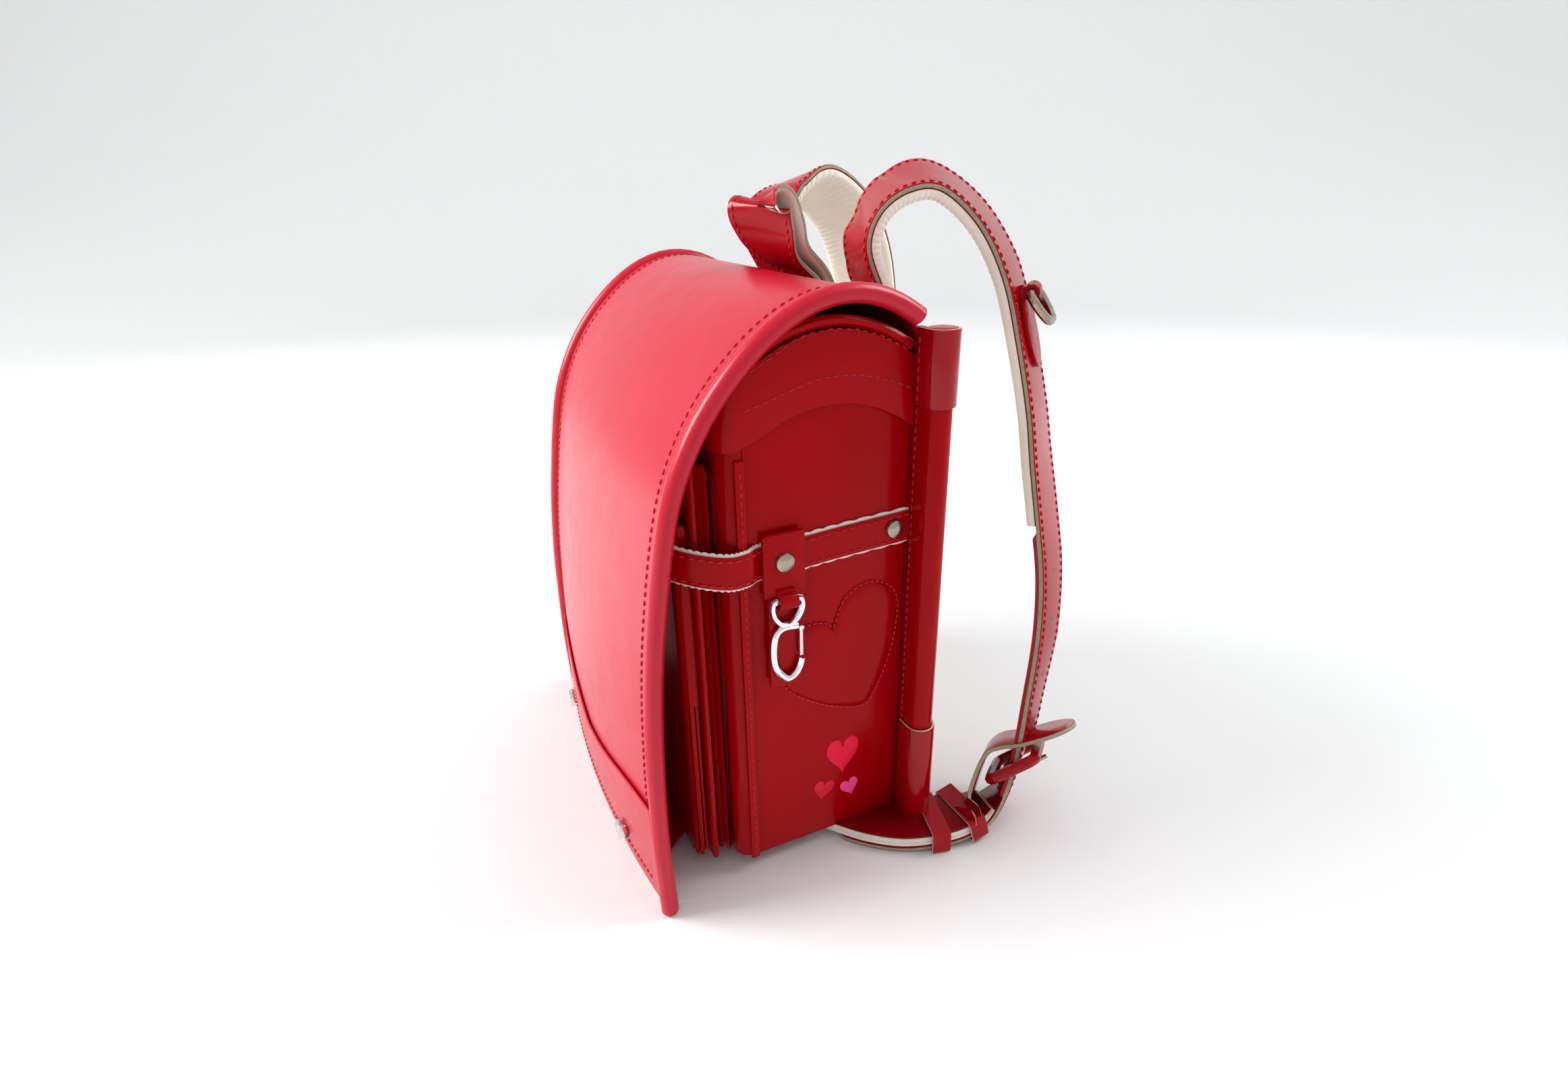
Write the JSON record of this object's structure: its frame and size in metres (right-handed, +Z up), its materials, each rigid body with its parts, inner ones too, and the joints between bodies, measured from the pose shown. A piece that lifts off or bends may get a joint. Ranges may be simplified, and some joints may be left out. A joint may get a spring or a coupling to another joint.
{
  "type": "school ransel",
  "caption": "Stiff red leather school backpack: box body, full-length arched flap, padded shoulder straps, top handle, side belts, snap hooks and a D-ring.",
  "frame": {"origin": "middle of the underside of the bag's base, on the plane of the gusset's floor", "axes": "+Z up, -Y the flap's front, +Y the wearer's side, +X the side with the hanging snap hook"},
  "size_m": [0.3344, 0.2788, 0.3736],
  "materials": {
    "leather": "glossy coated",
    "dark_leather": "glossy coated",
    "lining": "soft padded",
    "pad": "soft padded",
    "trim": "satin",
    "chrome": "polished",
    "nickel": "antique nickel"
  },
  "bodies": {
    "bag": {"back_bracket": "dark_leather", "back_pad": "pad", "back_panel": "dark_leather", "back_rivet_left": "nickel", "back_rivet_right": "nickel", "bottom_sleeve_left": "leather", "bottom_sleeve_right": "leather", "buckle_cover_left": "leather", "buckle_cover_right": "leather", "buckle_frame_left": "leather", "buckle_frame_right": "leather", "buckle_prong_left": "nickel", "buckle_prong_right": "nickel", "edge_roll_left": "leather", "edge_roll_right": "leather", "flap": "leather", "flap_overlay": "leather", "flap_piping_left": "leather", "flap_piping_right": "leather", "flap_tongue": "leather", "flap_trim": "trim", "front_pocket": "leather", "front_rivet_left": "nickel", "front_rivet_right": "nickel", "front_seam_left": "leather", "front_seam_right": "leather", "front_wall": "leather", "gusset": "leather", "handle": "leather", "heart_pad_left": "leather", "heart_pad_right": "leather", "hook_tab": "leather", "keeper_high_left": "leather", "keeper_high_right": "leather", "keeper_low_left": "leather", "keeper_low_right": "leather", "lower_belt_left": "lining", "lower_belt_right": "lining", "mouth_band": "leather", "mouth_rim_left": "leather", "mouth_rim_right": "leather", "side_belt_left": "leather", "side_belt_right": "leather", "small_compartment": "leather", "strap_left": "leather", "strap_lining_left": "lining", "strap_lining_right": "lining", "strap_patch_left": "leather", "strap_patch_right": "leather", "strap_right": "leather", "stud_left": "nickel", "stud_right": "nickel", "top_sleeve_left": "leather", "top_sleeve_right": "leather", "turn_lock": "nickel"},
    "side_hook_body": {"side_hook": "chrome"},
    "side_gate_body": {"side_hook_gate": "chrome"},
    "ring_body": {"strap_ring": "nickel"},
    "strap_hook_body": {"strap_hook": "chrome"},
    "strap_gate_body": {"strap_hook_gate": "chrome"}
  },
  "joints": [
    {"name": "side_hook_swing", "type": "hinge", "parent": "bag", "child": "side_hook_body", "pos_m": [0.1237, -0.0345, 0.164], "axis": [0, -1, 0], "range_deg": [0, 100]},
    {"name": "side_hook_gate_press", "type": "hinge", "parent": "side_hook_body", "child": "side_gate_body", "pos_m": [0.1237, -0.02755, 0.1476], "axis": [-1, 0, 0], "range_deg": [0, 24], "stiffness_Nm_per_rad": 0.004, "springref_deg": -5.73},
    {"name": "strap_ring_swing", "type": "hinge", "parent": "bag", "child": "ring_body", "pos_m": [0.08953, 0.13033, 0.29597], "axis": [0.6721, -0.7316, -0.1139], "range_deg": [-18, 60]},
    {"name": "strap_hook_swing", "type": "hinge", "parent": "bag", "child": "strap_hook_body", "pos_m": [-0.08953, 0.13033, 0.29597], "axis": [-0.6721, -0.7316, -0.1139], "range_deg": [-10, 95]},
    {"name": "strap_hook_gate_press", "type": "hinge", "parent": "strap_hook_body", "child": "strap_gate_body", "pos_m": [-0.09518, 0.14335, 0.30673], "axis": [0.3893, -0.4801, 0.7861], "range_deg": [0, 24], "stiffness_Nm_per_rad": 0.004, "springref_deg": -5.73}
  ]
}
